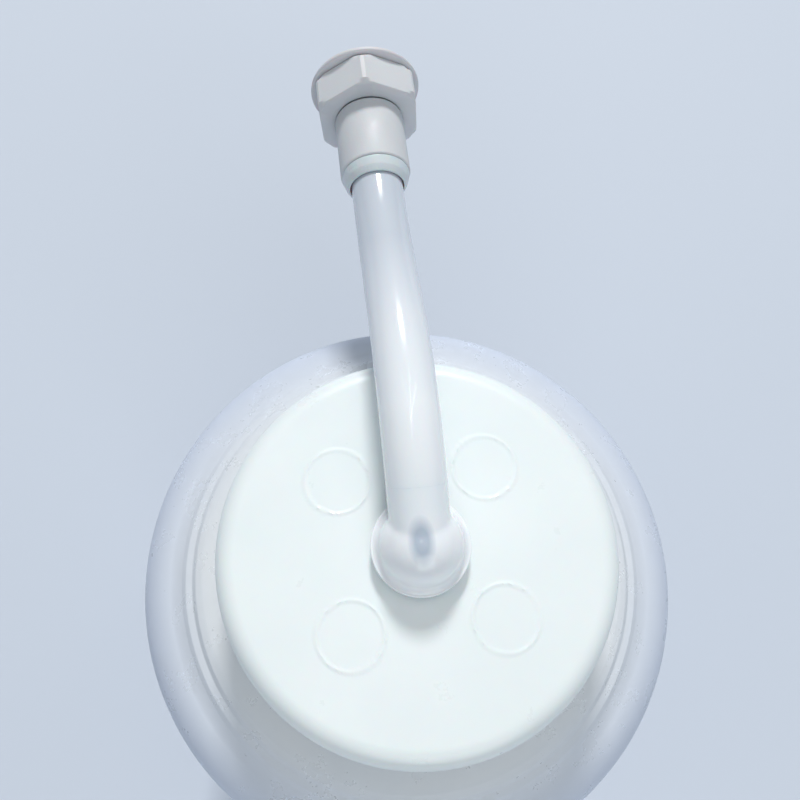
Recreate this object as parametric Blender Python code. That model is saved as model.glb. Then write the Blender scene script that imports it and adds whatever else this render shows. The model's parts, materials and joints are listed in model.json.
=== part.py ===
"""Condiment pump dispenser: a wide-mouth jar, its screw lid and a plunger pump with a long spout.

Metres, +Z up. The origin is the centre of the jar's flat base, the pump's axis is the Z axis and
the spout points along +Y. Every piece is its own object; threads that turn are real helices.
"""
import math

import bmesh
import bpy
from mathutils import Matrix, Vector

# ---------------------------------------------------------------- driving dimensions
GAP = 0.0003                 # space between faces that touch
SEGMENTS = 36                # sides of the large round pieces
SEGMENTS_MEDIUM = 24         # sides of the pump's larger pieces
SEGMENTS_SMALL = 20          # sides of the small round pieces

JAR_RADIUS = 0.0780
JAR_WALL = 0.0020
NECK_RADIUS = 0.0454
NECK_Z = 0.2150              # foot of the neck's straight wall
BASE_CORNER = 0.0120
SHOULDER_CORNER = 0.0130
SHOULDER_DROP = 0.0502       # from the lid's top down to where the shoulder begins
SHOULDER_STEPS = [(0.0645, 0.0020), (0.0632, 0.0036), (0.0612, 0.0042), (0.0600, 0.0062), (0.0580, 0.0072)]
BEAD_HEIGHT = 0.0042         # how far the neck's bead stands out

LID_TOP_Z = 0.2400
LID_RADIUS = 0.0500
LID_PLATE = 0.0022
LID_ROLL = 0.0050
LID_HEIGHT = 0.0200
LID_WALL = 0.0020
LID_HOLE_RADIUS = 0.0104
BOSS_RADIUS = 0.0225
BOSS_INNER = 0.0200
BOSS_HEIGHT = 0.0078
LINER = 0.0010

JAR_THREAD_PITCH = 0.0050
JAR_THREAD_TURNS = 1.25
JAR_THREAD_HEIGHT = 0.0018
JAR_THREAD_WIDTH = 0.0022
NOZZLE_THREAD_PITCH = 0.0020
NOZZLE_THREAD_TURNS = 2.0
NOZZLE_THREAD_WIDTH = 0.0009
NOZZLE_THREAD_START = 0.0231

CYLINDER_BORE = 0.0165
CYLINDER_WALL = 0.0020
CYLINDER_FLOOR_Z = 0.1780
CYLINDER_FLOOR = 0.0025
FLANGE_THICKNESS = 0.0017    # the cylinder's flange, held by the ring nut
VALVE_SOCKET_Z = 0.1630      # foot of the spigot that takes the inlet valve
VALVE_SOCKET = 0.0062
HUB_RADIUS = 0.0076          # the head's lower barrel, which slides in the guide bush
HUB_BOTTOM_Z = 0.2135
BUSH_BORE = HUB_RADIUS + 0.0004
BUSH_BOTTOM_Z = 0.2325
BUSH_FLANGE_RADIUS = 0.0140
BUSH_SINK = 0.0002           # the bush's top lies this far below the lid's top
STEM_RADIUS = 0.0060
STEM_BORE = 0.0039
STEM_TOP_Z = 0.2408
PISTON_Z = 0.1945            # underside of the piston with the head down
TUBE_FOOT_Z = 0.0060         # lower end of the dip tube
SPRING_RADIUS = 0.0110
SPRING_WIRE = 0.0007
SPRING_TURNS = 5

HEAD_DISC_Z = 0.2431
HEAD_DISC_RADIUS = 0.0121
HEAD_DISC_THICKNESS = 0.0012
DOME_RADIUS = 0.0104
DOME_TOP_Z = 0.2553
SPOUT_RADIUS = 0.0073
SPOUT_BORE = 0.0052
SPOUT_START_Z = 0.2475       # height of the spout's centre line over the pump's axis
SPOUT_RISE_DEG = 20.0
SPOUT_FALL_DEG = 4.0
NECK_LENGTH = 0.0140
SPIGOT_IN_NECK = 0.0058      # radius of the spout's spigot
SPIGOT_IN_NECK_BORE = 0.0042
SPOUT_BEND_END = (0.1035, 0.2402)
SPOUT_IN_SLEEVE = 0.0155

SLEEVE_RADIUS = 0.0100
COLLAR_RADII = (0.0081, 0.0097)   # the soft collar in front of the sleeve widens along it
NUT_FLATS = 0.0282
NUT_START = 0.0216           # along the nozzle's axis, as are the places below
NUT_LENGTH = 0.0108
NUT_TURN_DEG = -4.0          # one corner leans this far from straight up
NUT_SOCKET = 0.0097          # threaded bore of the nut
NUT_EXIT = 0.0063
NUT_SHOULDER = 0.0296        # the face that holds the valve
SPIGOT_RADIUS = 0.0082
SPIGOT_END = 0.0283
SPIGOT_BORE = 0.0048
COLLAR_START = -0.0029
COLLAR_END = 0.0013
FLANGE_RADIUS = 0.0162
FLANGE_PLATE = 0.0016
OUTLET_BORE = 0.0046
VALVE_BILL = (0.0022, 0.0049)     # the bill's start and tip, from the nut's shoulder

# ---------------------------------------------------------------- values worked out from them
LID_UNDER_Z = LID_TOP_Z - LID_PLATE
LID_BOTTOM_Z = LID_TOP_Z - LID_HEIGHT
LID_INNER = LID_RADIUS - LID_WALL
JAR_RIM_Z = LID_UNDER_Z - LINER - 2 * GAP
BOSS_BOTTOM_Z = LID_UNDER_Z - BOSS_HEIGHT
CYLINDER_OUTER = CYLINDER_BORE + CYLINDER_WALL
SHOULDER_Z = LID_TOP_Z - SHOULDER_DROP
JAR_THREAD_Z = LID_BOTTOM_Z + 0.0040
CYLINDER_FLOOR_TOP_Z = CYLINDER_FLOOR_Z + CYLINDER_FLOOR
NECK_SOCKET = 0.0078         # along the neck, where the spout's spigot seats
RISE = Vector((0, math.cos(math.radians(SPOUT_RISE_DEG)), math.sin(math.radians(SPOUT_RISE_DEG))))
FALL = Vector((0, math.cos(math.radians(SPOUT_FALL_DEG)), -math.sin(math.radians(SPOUT_FALL_DEG))))
SPOUT_ORIGIN = Vector((0, 0, SPOUT_START_Z))
BEND_END = Vector((0, *SPOUT_BEND_END))
NOZZLE_ORIGIN = BEND_END + FALL * 0.0015


# ---------------------------------------------------------------- materials
def material(name, colour, roughness, metallic=0.0, alpha=1.0):
    """A plain Principled material."""
    made = bpy.data.materials.new(name)
    made.use_nodes = True
    shader = made.node_tree.nodes["Principled BSDF"]
    shader.inputs["Base Color"].default_value = (*colour, 1.0)
    shader.inputs["Roughness"].default_value = roughness
    shader.inputs["Metallic"].default_value = metallic
    shader.inputs["Alpha"].default_value = alpha
    return made


def make_materials():
    return {
        "clear": material("clear_plastic", (0.72, 0.78, 0.86), 0.08, alpha=0.35),
        "lid": material("white_gloss_plastic", (0.86, 0.90, 0.90), 0.22),
        "spout": material("natural_plastic", (0.74, 0.78, 0.82), 0.20),
        "nozzle": material("off_white_plastic", (0.66, 0.68, 0.70), 0.45),
        "ring": material("grey_translucent_plastic", (0.55, 0.58, 0.60), 0.35),
        "pump": material("pump_plastic", (0.70, 0.73, 0.76), 0.40),
        "seal": material("silicone", (0.58, 0.60, 0.62), 0.60),
        "steel": material("stainless_steel", (0.62, 0.62, 0.63), 0.25, metallic=1.0),
    }


# ---------------------------------------------------------------- mesh helpers
def arc(centre, radius, start_deg, end_deg, steps):
    """Points of a circular arc in the (r, z) plane."""
    angles = [math.radians(start_deg + (end_deg - start_deg) * i / steps) for i in range(steps + 1)]
    return [(centre[0] + radius * math.cos(a), centre[1] + radius * math.sin(a)) for a in angles]


def inset_line(line, distance):
    """The line of (r, z) points moved to its left by the given distance, with mitred corners."""
    moved = []
    for i, point in enumerate(line):
        here = Vector(point)
        before = (here - Vector(line[i - 1])).normalized() if i else None
        after = (Vector(line[i + 1]) - here).normalized() if i + 1 < len(line) else None
        before = before or after
        after = after or before
        tangent = (before + after).normalized()
        normal = Vector((-tangent.y, tangent.x))
        stretch = 1.0 / max(0.5, tangent.dot(after))
        moved.append(tuple(here + normal * distance * stretch))
    return moved


def new_object(name, mesh, look, frame=None, sharp_deg=35.0):
    """An object with one material, shaded smooth, standing in its parent frame."""
    mesh.materials.append(look)
    mesh.shade_smooth()
    mesh.set_sharp_from_angle(angle=math.radians(sharp_deg))
    made = bpy.data.objects.new(name, mesh)
    bpy.context.scene.collection.objects.link(made)
    made.parent = frame
    return made


def turned_mesh(name, profile, segments, closed=True):
    """A turned mesh. A closed profile is a ring's section; an open one starts and ends on the axis."""
    bm = bmesh.new()
    points = [bm.verts.new((r, 0, z)) for r, z in profile]
    pairs = list(zip(points, points[1:]))
    if closed:
        pairs.append((points[-1], points[0]))
    edges = [bm.edges.new(pair) for pair in pairs]
    bmesh.ops.spin(bm, geom=points + edges, cent=(0, 0, 0), axis=(0, 0, 1), angle=2 * math.pi,
                   steps=segments, use_merge=True)
    bmesh.ops.remove_doubles(bm, verts=bm.verts[:], dist=1e-6)
    bmesh.ops.recalc_face_normals(bm, faces=bm.faces[:])
    mesh = bpy.data.meshes.new(name)
    bm.to_mesh(mesh)
    bm.free()
    return mesh


def turned(name, profile, look, frame, segments=SEGMENTS_SMALL, closed=True):
    return new_object(name, turned_mesh(name, profile, segments, closed), look, frame)


def ring(name, inner, outer, low, high, look, frame, segments=SEGMENTS_SMALL):
    """A plain ring of rectangular section."""
    return turned(name, [(inner, low), (outer, low), (outer, high), (inner, high)], look, frame, segments)


def thread_mesh(name, root, crest, pitch, turns, start_z, width, steps_per_turn, embed):
    """A helical ridge. It rises with a left turn seen from above and fades out at both ends.

    Its steps stand a little off the corners of the wall it is joined to.
    """
    bm = bmesh.new()
    steps = round(turns * steps_per_turn)
    fade = max(2, steps_per_turn // 12)
    rows = []
    for i in range(steps + 1):
        angle = 2 * math.pi * (i + 0.4) / steps_per_turn
        z = start_z + pitch * i / steps_per_turn
        full = min(1.0, i / fade, (steps - i) / fade)
        buried = root - embed / 2
        tip = buried + (crest - buried) * full
        section = [(root - embed, -width / 2), (tip, -width / 4), (tip, width / 4), (root - embed, width / 2)]
        turn = Matrix.Rotation(angle, 3, "Z")
        rows.append([bm.verts.new(turn @ Vector((r, 0, z + dz))) for r, dz in section])
    for low, high in zip(rows, rows[1:]):
        for i in range(4):
            j = (i + 1) % 4
            bm.faces.new((low[i], low[j], high[j], high[i]))
    bm.faces.new(rows[0][::-1])
    bm.faces.new(rows[-1])
    bmesh.ops.recalc_face_normals(bm, faces=bm.faces[:])
    mesh = bpy.data.meshes.new(name)
    bm.to_mesh(mesh)
    bm.free()
    return mesh


def tool(name, mesh, frame=None):
    """A guide or cutter: a mesh used by a Boolean and left out of the model."""
    made = bpy.data.objects.new(name, mesh)
    bpy.context.scene.collection.objects.link(made)
    made.parent = frame
    made.hide_render = True
    made.display_type = "WIRE"
    return made


def combine(target, operand, operation):
    """Add a Boolean modifier, UNION or DIFFERENCE."""
    modifier = target.modifiers.new(operand.name, "BOOLEAN")
    modifier.operation = operation
    modifier.object = operand
    return modifier


def rod_tool(name, radius, low, high, frame, segments=SEGMENTS_SMALL):
    """A round cutter along its frame's Z axis."""
    profile = [(0, low), (radius, low), (radius, high), (0, high)]
    return tool(name, turned_mesh(name, profile, segments, closed=False), frame)


def empty(name, location=(0, 0, 0), direction=None):
    """An empty on a joint's axis. Its Z axis is turned to the given direction, its X axis stays level."""
    made = bpy.data.objects.new(name, None)
    bpy.context.scene.collection.objects.link(made)
    made.location = location
    if direction is not None:
        made.rotation_euler = (-math.atan2(direction.y, direction.z), 0, 0)
    return made


# ---------------------------------------------------------------- the jar and its lid
def make_jar(looks, frame):
    """Clear jar: flat base, straight wall, stepped shoulder and threaded neck."""
    corner = JAR_RADIUS - BASE_CORNER
    crown = JAR_RADIUS - SHOULDER_CORNER
    line = [(0, 0)]
    line += arc((corner, BASE_CORNER), BASE_CORNER, -90, 0, 3)
    line += arc((crown, SHOULDER_Z), SHOULDER_CORNER, 0, 80, 3)
    step_top = SHOULDER_Z + SHOULDER_CORNER
    line += [(r, step_top + rise) for r, rise in SHOULDER_STEPS]
    line += [(NECK_RADIUS + 0.0046, NECK_Z - 0.0028), (NECK_RADIUS + 0.0012, NECK_Z - 0.0014),
             (NECK_RADIUS, NECK_Z), (NECK_RADIUS, JAR_RIM_Z)]
    inside = inset_line(line, JAR_WALL)
    inside[0] = (0, JAR_WALL)
    inside[-1] = (NECK_RADIUS - JAR_WALL, JAR_RIM_Z)
    bead_r = NECK_RADIUS + BEAD_HEIGHT
    bead = [(NECK_RADIUS, NECK_Z + 0.0008), (bead_r, NECK_Z + 0.0014), (bead_r, NECK_Z + 0.0030),
            (NECK_RADIUS, NECK_Z + 0.0036)]
    outside = line[:-1] + bead + line[-1:]
    jar = turned("jar", outside + inside[::-1], looks["clear"], frame, SEGMENTS, closed=False)
    thread = thread_mesh("jar_thread", NECK_RADIUS, NECK_RADIUS + JAR_THREAD_HEIGHT, JAR_THREAD_PITCH,
                         JAR_THREAD_TURNS, JAR_THREAD_Z, JAR_THREAD_WIDTH, SEGMENTS, 0.0005)
    combine(jar, tool("jar_thread_guide", thread, frame), "UNION")


def make_lid(looks, frame):
    """White screw lid: rolled edge, plain skirt, centre hole and a boss for the pump underneath."""
    rim = LID_RADIUS - LID_ROLL
    profile = [(LID_HOLE_RADIUS, LID_TOP_Z)]
    profile += arc((rim, LID_TOP_Z - LID_ROLL), LID_ROLL, 90, 0, 4)
    profile += [(LID_RADIUS, LID_BOTTOM_Z + 0.0006), (LID_RADIUS - 0.0005, LID_BOTTOM_Z),
                (LID_INNER + 0.0003, LID_BOTTOM_Z), (LID_INNER, LID_BOTTOM_Z + 0.0006)]
    profile += [(LID_INNER, LID_UNDER_Z - 0.0010), (LID_INNER - 0.0004, LID_UNDER_Z)]
    profile += [(BOSS_RADIUS, LID_UNDER_Z), (BOSS_RADIUS, BOSS_BOTTOM_Z), (BOSS_INNER, BOSS_BOTTOM_Z),
                (BOSS_INNER, LID_UNDER_Z), (LID_HOLE_RADIUS, LID_UNDER_Z)]
    lid = turned("lid", profile, looks["lid"], frame, SEGMENTS)
    start = JAR_THREAD_Z - JAR_THREAD_PITCH / 2
    thread = thread_mesh("lid_thread", LID_INNER, LID_INNER - JAR_THREAD_HEIGHT, JAR_THREAD_PITCH,
                         JAR_THREAD_TURNS, start, JAR_THREAD_WIDTH, SEGMENTS, -0.0005)
    combine(lid, tool("lid_thread_guide", thread, frame), "UNION")


def make_liner(looks, frame):
    """Sealing liner between the jar's rim and the lid."""
    ring("lid_liner", NECK_RADIUS - JAR_WALL - 0.0004, LID_INNER - 0.0007, JAR_RIM_Z + GAP,
         JAR_RIM_Z + GAP + LINER, looks["seal"], frame, SEGMENTS)


# ---------------------------------------------------------------- the pump under the lid
def make_guide_bush(looks, frame):
    """Bush pressed into the lid's hole from below. It guides the head's barrel and holds its wiper."""
    outer, high = LID_HOLE_RADIUS - GAP, LID_TOP_Z - BUSH_SINK
    flange_low, flange_high = LID_UNDER_Z - 0.0020, LID_UNDER_Z - GAP
    groove_r, groove_low, groove_high = BUSH_BORE + 0.0014, BUSH_BOTTOM_Z + 0.0025, BUSH_BOTTOM_Z + 0.0050
    profile = [(BUSH_BORE, BUSH_BOTTOM_Z), (outer, BUSH_BOTTOM_Z), (outer, flange_low),
               (BUSH_FLANGE_RADIUS, flange_low), (BUSH_FLANGE_RADIUS, flange_high), (outer, flange_high),
               (outer, high), (BUSH_BORE, high), (BUSH_BORE, groove_high), (groove_r, groove_high),
               (groove_r, groove_low), (BUSH_BORE, groove_low)]
    turned("guide_bush", profile, looks["pump"], frame, SEGMENTS_MEDIUM)
    section = arc((BUSH_BORE + 0.0005, (groove_low + groove_high) / 2), 0.0006, 0, 300, 5)
    turned("wiper_ring", section, looks["seal"], frame, SEGMENTS_MEDIUM)


def make_cylinder(looks, frame):
    """Pump cylinder: clamped by its flange under the lid, with a floor and a spigot for the valve."""
    top = LID_UNDER_Z - 0.0004
    flange_high = BOSS_BOTTOM_Z - 0.0016
    flange_low = flange_high - FLANGE_THICKNESS
    floor_low, floor_high = CYLINDER_FLOOR_Z, CYLINDER_FLOOR_TOP_Z
    profile = [(CYLINDER_BORE, top), (CYLINDER_OUTER, top), (CYLINDER_OUTER, flange_high),
               (BOSS_RADIUS - GAP, flange_high), (BOSS_RADIUS - GAP, flange_low),
               (CYLINDER_OUTER, flange_low), (CYLINDER_OUTER, floor_low + 0.0020),
               (CYLINDER_OUTER - 0.0020, floor_low), (VALVE_SOCKET + 0.0018, floor_low),
               (VALVE_SOCKET + 0.0018, VALVE_SOCKET_Z), (VALVE_SOCKET, VALVE_SOCKET_Z),
               (VALVE_SOCKET, floor_low), (0.0032, floor_low), (0.0032, floor_high),
               (CYLINDER_BORE - 0.0010, floor_high), (CYLINDER_BORE, floor_high + 0.0010)]
    turned("pump_cylinder", profile, looks["pump"], frame, SEGMENTS_MEDIUM)
    ring("cylinder_gasket", CYLINDER_OUTER + GAP, BOSS_RADIUS - GAP, flange_high + GAP,
         BOSS_BOTTOM_Z - GAP, looks["seal"], frame, SEGMENTS_MEDIUM)
    make_ring_nut(looks, frame, flange_low)


def make_ring_nut(looks, frame, flange_low):
    """Ring nut under the lid, with a lip below the cylinder's flange and grip ribs outside."""
    low, high = flange_low - 0.0034, BOSS_BOTTOM_Z + 0.0060
    bore, outer = BOSS_RADIUS + 0.0004, 0.0258
    profile = [(CYLINDER_OUTER + 0.0004, low), (outer, low), (outer, high), (bore, high),
               (bore, flange_low - GAP), (CYLINDER_OUTER + 0.0004, flange_low - GAP)]
    nut = turned("cylinder_nut", profile, looks["pump"], frame, SEGMENTS_MEDIUM)
    ribs = 8
    for i in range(ribs):
        turn = Matrix.Rotation(2 * math.pi * (i + 0.5) / ribs, 4, "Z")
        bm = bmesh.new()
        size = Matrix.Diagonal((0.0036, 0.0030, high - low - 0.0020, 1.0))
        place = Matrix.Translation((outer + 0.0004, 0, (low + high) / 2))
        bmesh.ops.create_cube(bm, size=1.0, matrix=turn @ place @ size)
        mesh = bpy.data.meshes.new("nut_rib")
        bm.to_mesh(mesh)
        bm.free()
        combine(nut, tool(f"nut_rib_{i + 1}", mesh, frame), "UNION")


def make_spring(looks, frame):
    """Return spring under the piston, a coil with closed ends."""
    low, high = CYLINDER_FLOOR_TOP_Z + GAP + SPRING_WIRE, PISTON_Z - GAP - SPRING_WIRE
    per_turn = 10
    dead = 0.8
    turns = SPRING_TURNS + 2 * dead
    flat = 2 * SPRING_WIRE * 1.15
    points = []
    for i in range(round(turns * per_turn) + 1):
        turn = i / per_turn
        if turn < dead:
            z = low + flat * turn
        elif turn > turns - dead:
            z = high - flat * (turns - turn)
        else:
            share = (turn - dead) / SPRING_TURNS
            z = low + flat * dead + share * (high - low - 2 * flat * dead)
        angle = 2 * math.pi * turn
        points.append((SPRING_RADIUS * math.cos(angle), SPRING_RADIUS * math.sin(angle), z))
    curve = bpy.data.curves.new("return_spring", "CURVE")
    curve.dimensions = "3D"
    curve.bevel_depth = SPRING_WIRE
    curve.bevel_resolution = 1
    curve.use_fill_caps = True
    spline = curve.splines.new("POLY")
    spline.points.add(len(points) - 1)
    for slot, point in zip(spline.points, points):
        slot.co = (*point, 1.0)
        slot.radius = 1.0
    curve.materials.append(looks["steel"])
    made = bpy.data.objects.new("return_spring", curve)
    bpy.context.scene.collection.objects.link(made)
    made.parent = frame


def make_piston(looks, frame):
    """Piston with its seal groove, stem socket and outlet valve seat."""
    outer = CYLINDER_BORE - 0.0004
    profile = [(0.0024, PISTON_Z), (outer - 0.0006, PISTON_Z), (outer, PISTON_Z + 0.0006),
               (outer, PISTON_Z + 0.0030), (0.0134, PISTON_Z + 0.0030), (0.0134, PISTON_Z + 0.0070),
               (outer, PISTON_Z + 0.0070), (outer, PISTON_Z + 0.0096), (outer - 0.0006, PISTON_Z + 0.0100),
               (0.0090, PISTON_Z + 0.0100), (0.0090, PISTON_Z + 0.0160),
               (STEM_RADIUS + GAP, PISTON_Z + 0.0160), (STEM_RADIUS + GAP, PISTON_Z + 0.0055),
               (0.0038, PISTON_Z + 0.0055), (0.0038, PISTON_Z + 0.0036), (0.0024, PISTON_Z + 0.0022)]
    turned("piston", profile, looks["pump"], frame, SEGMENTS_MEDIUM)
    seal = [(0.0137, PISTON_Z + 0.0034), (CYLINDER_BORE - GAP, PISTON_Z + 0.0034),
            (CYLINDER_BORE - 0.0006, PISTON_Z + 0.0050), (CYLINDER_BORE - GAP, PISTON_Z + 0.0066),
            (0.0137, PISTON_Z + 0.0066)]
    turned("piston_seal", seal, looks["seal"], frame, SEGMENTS_MEDIUM)


def make_stem(looks, frame):
    """Hollow stem from the piston to the head, with a groove for the head's O-ring near its top."""
    low, high = PISTON_Z + 0.0055 + GAP, STEM_TOP_Z
    groove_low, groove_high = STEM_TOP_Z - 0.0040, STEM_TOP_Z - 0.0018
    profile = [(STEM_BORE, low), (STEM_RADIUS, low), (STEM_RADIUS, groove_low), (0.0048, groove_low),
               (0.0048, groove_high), (STEM_RADIUS, groove_high), (STEM_RADIUS, high - 0.0005),
               (STEM_RADIUS - 0.0005, high), (STEM_BORE, high)]
    turned("stem", profile, looks["pump"], frame)
    middle = (groove_low + groove_high) / 2
    turned("head_o_ring", arc((0.00555, middle), 0.00045, 0, 300, 5), looks["seal"], frame)
    stop_low = PISTON_Z + 0.0122
    ring("outlet_ball_stop", 0.0019, STEM_BORE - GAP, stop_low, stop_low + 0.0016, looks["pump"], frame)


def make_ball(name, radius, height, looks, frame):
    """Valve ball, round about the pump's axis."""
    profile = [(max(0.0, r), z) for r, z in arc((0, height), radius, -90, 90, 8)]
    turned(name, profile, looks["steel"], frame, 16, closed=False)


def make_inlet(looks, frame):
    """Inlet valve body with its seat and hose tail, the ball's stop and the dip tube."""
    outer, wide, tail = VALVE_SOCKET - GAP, VALVE_SOCKET + 0.0018, 0.0049
    collar_high = VALVE_SOCKET_Z - GAP
    collar_low, chamber_high = collar_high - 0.0027, CYLINDER_FLOOR_Z - 0.0025
    tail_low = collar_low - 0.0140
    body = [(0.0026, tail_low), (tail - 0.0006, tail_low), (tail, tail_low + 0.0020), (tail, collar_low),
            (wide, collar_low), (wide, collar_high), (outer, collar_high), (outer, chamber_high),
            (0.0045, chamber_high), (0.0045, collar_high + 0.0035), (0.0026, collar_high + 0.0018)]
    turned("inlet_valve_body", body, looks["pump"], frame)
    stop_low, stop_high = chamber_high + GAP, CYLINDER_FLOOR_Z - GAP
    stop = ring("inlet_ball_stop", 0.0043, outer, stop_low, stop_high, looks["pump"], frame)
    bm = bmesh.new()
    size = Matrix.Diagonal((0.0098, 0.0014, 0.0012, 1.0))
    middle = Matrix.Translation((0, 0, (stop_low + stop_high) / 2))
    bmesh.ops.create_cube(bm, size=1.0, matrix=middle @ size)
    mesh = bpy.data.meshes.new("stop_bar")
    bm.to_mesh(mesh)
    bm.free()
    combine(stop, tool("stop_bar_guide", mesh, frame), "UNION")
    tube = ring("dip_tube", tail + GAP, tail + 0.0017, TUBE_FOOT_Z, collar_low - GAP, looks["spout"], frame)
    bm = bmesh.new()
    foot = Matrix.Translation((0, 0, TUBE_FOOT_Z)) @ Matrix.Rotation(math.radians(45), 4, "Y")
    bmesh.ops.create_cube(bm, size=1.0, matrix=foot @ Matrix.Diagonal((0.006, 0.02, 0.006, 1.0)))
    mesh = bpy.data.meshes.new("tube_notch")
    bm.to_mesh(mesh)
    bm.free()
    combine(tube, tool("tube_notch_cutter", mesh, frame), "DIFFERENCE")


# ---------------------------------------------------------------- the head and the spout
def make_head(looks, frame, neck_frame):
    """Pump head: barrel below, thin disc, dome on top and a neck that takes the spout."""
    disc_high = HEAD_DISC_Z + HEAD_DISC_THICKNESS
    profile = [(0, HUB_BOTTOM_Z), (HUB_RADIUS - 0.0005, HUB_BOTTOM_Z), (HUB_RADIUS, HUB_BOTTOM_Z + 0.0005),
               (HUB_RADIUS, HEAD_DISC_Z),
               (HEAD_DISC_RADIUS - 0.0003, HEAD_DISC_Z), (HEAD_DISC_RADIUS, HEAD_DISC_Z + 0.0003),
               (HEAD_DISC_RADIUS, disc_high - 0.0003), (HEAD_DISC_RADIUS - 0.0003, disc_high)]
    height = DOME_TOP_Z - disc_high
    dome = arc((0, 0), 1.0, 0, 90, 6)
    profile += [(max(0.0, DOME_RADIUS * c), disc_high + height * s) for c, s in dome]
    head = turned("pump_head", profile, looks["spout"], frame, SEGMENTS_MEDIUM, closed=False)
    combine(head, rod_tool("neck_guide", SPOUT_RADIUS, 0.0, NECK_LENGTH, neck_frame), "UNION")
    stem_bore, stem_end = STEM_RADIUS + GAP, STEM_TOP_Z + GAP
    below, above, beyond = HUB_BOTTOM_Z - 0.0010, SPOUT_START_Z + 0.0005, NECK_LENGTH + 0.0010
    socket = SPIGOT_IN_NECK + GAP
    stem_path = [(0, below), (stem_bore, below), (stem_bore, stem_end), (0.0036, stem_end),
                 (0.0036, above), (0, above)]
    spout_path = [(0, -0.0005), (0.0038, -0.0005), (0.0038, NECK_SOCKET), (socket, NECK_SOCKET),
                  (socket, beyond), (0, beyond)]
    for name, path, standing in (("stem_cutter", stem_path, frame), ("spout_cutter", spout_path, neck_frame)):
        mesh = turned_mesh(name, path, SEGMENTS_SMALL, closed=False)
        combine(head, tool(name, mesh, standing), "DIFFERENCE")


def spout_line():
    """Points along the spout's centre line with a share of the full section: spigot, bend, straight end."""
    start = SPOUT_ORIGIN + RISE * (NECK_LENGTH + GAP)
    handles = (start + RISE * 0.0400, BEND_END - FALL * 0.0350)
    steps = 11
    bend = []
    for i in range(steps + 1):
        t = i / steps
        u = 1 - t
        near = u ** 3 * start + 3 * u * u * t * handles[0]
        bend.append(near + 3 * u * t * t * handles[1] + t ** 3 * BEND_END)
    return bend + [BEND_END + FALL * SPOUT_IN_SLEEVE]


def make_spout(looks, frame):
    """Spout tube: a spigot in the head's neck, a gentle arch, and a straight end in the sleeve."""
    line = spout_line()
    spigot_start = SPOUT_ORIGIN + RISE * (NECK_SOCKET + 0.0004)
    spigot_end = line[0]
    outside = [(spigot_start, RISE, SPIGOT_IN_NECK), (spigot_end, RISE, SPIGOT_IN_NECK)]
    inside = [(spigot_start, RISE, SPIGOT_IN_NECK_BORE)]
    for i, point in enumerate(line):
        before = line[max(0, i - 1)]
        after = line[min(len(line) - 1, i + 1)]
        tangent = RISE if i == 0 else FALL if i >= len(line) - 2 else (after - before).normalized()
        outside.append((point, tangent, SPOUT_RADIUS))
        inside.append((point, tangent, SPOUT_BORE if i else SPIGOT_IN_NECK_BORE))
    sections = outside + inside[::-1]
    bm = bmesh.new()
    rows = []
    for point, tangent, radius in sections:
        up = Vector((0, -tangent.z, tangent.y))
        angles = [2 * math.pi * k / SEGMENTS_SMALL for k in range(SEGMENTS_SMALL)]
        rows.append([bm.verts.new(point + radius * (math.cos(a) * Vector((1, 0, 0)) + math.sin(a) * up))
                     for a in angles])
    for i, low in enumerate(rows):
        high = rows[(i + 1) % len(rows)]
        for k in range(SEGMENTS_SMALL):
            j = (k + 1) % SEGMENTS_SMALL
            bm.faces.new((low[k], low[j], high[j], high[k]))
    bmesh.ops.recalc_face_normals(bm, faces=bm.faces[:])
    mesh = bpy.data.meshes.new("spout_tube")
    bm.to_mesh(mesh)
    bm.free()
    new_object("spout_tube", mesh, looks["spout"], frame)


# ---------------------------------------------------------------- the nozzle at the spout's end
def make_sleeve(looks, frame):
    """Nozzle sleeve on the spout's end, its soft collar, and the threaded spigot for the hex nut."""
    bore = SPOUT_RADIUS + 0.0004
    near, far = COLLAR_RADII
    collar = [(bore, COLLAR_START), (near, COLLAR_START), (far, COLLAR_END), (bore, COLLAR_END)]
    turned("sleeve_ring", collar, looks["ring"], frame)
    body_low, spigot_low = COLLAR_END + GAP, NUT_START - GAP
    tube_end = SPOUT_IN_SLEEVE + 0.0010
    profile = [(bore, body_low), (SLEEVE_RADIUS - 0.0003, body_low), (SLEEVE_RADIUS, body_low + 0.0003),
               (SLEEVE_RADIUS, spigot_low), (SPIGOT_RADIUS, spigot_low), (SPIGOT_RADIUS, SPIGOT_END - 0.0005),
               (SPIGOT_RADIUS - 0.0005, SPIGOT_END), (SPIGOT_BORE, SPIGOT_END), (SPIGOT_BORE, tube_end),
               (bore, tube_end)]
    sleeve = turned("nozzle_sleeve", profile, looks["nozzle"], frame)
    crest = SPIGOT_RADIUS + 0.0009
    thread = thread_mesh("sleeve_thread", SPIGOT_RADIUS, crest, NOZZLE_THREAD_PITCH, NOZZLE_THREAD_TURNS,
                         NOZZLE_THREAD_START, NOZZLE_THREAD_WIDTH, SEGMENTS_SMALL, 0.0003)
    combine(sleeve, tool("sleeve_thread_guide", thread, frame), "UNION")


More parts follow.
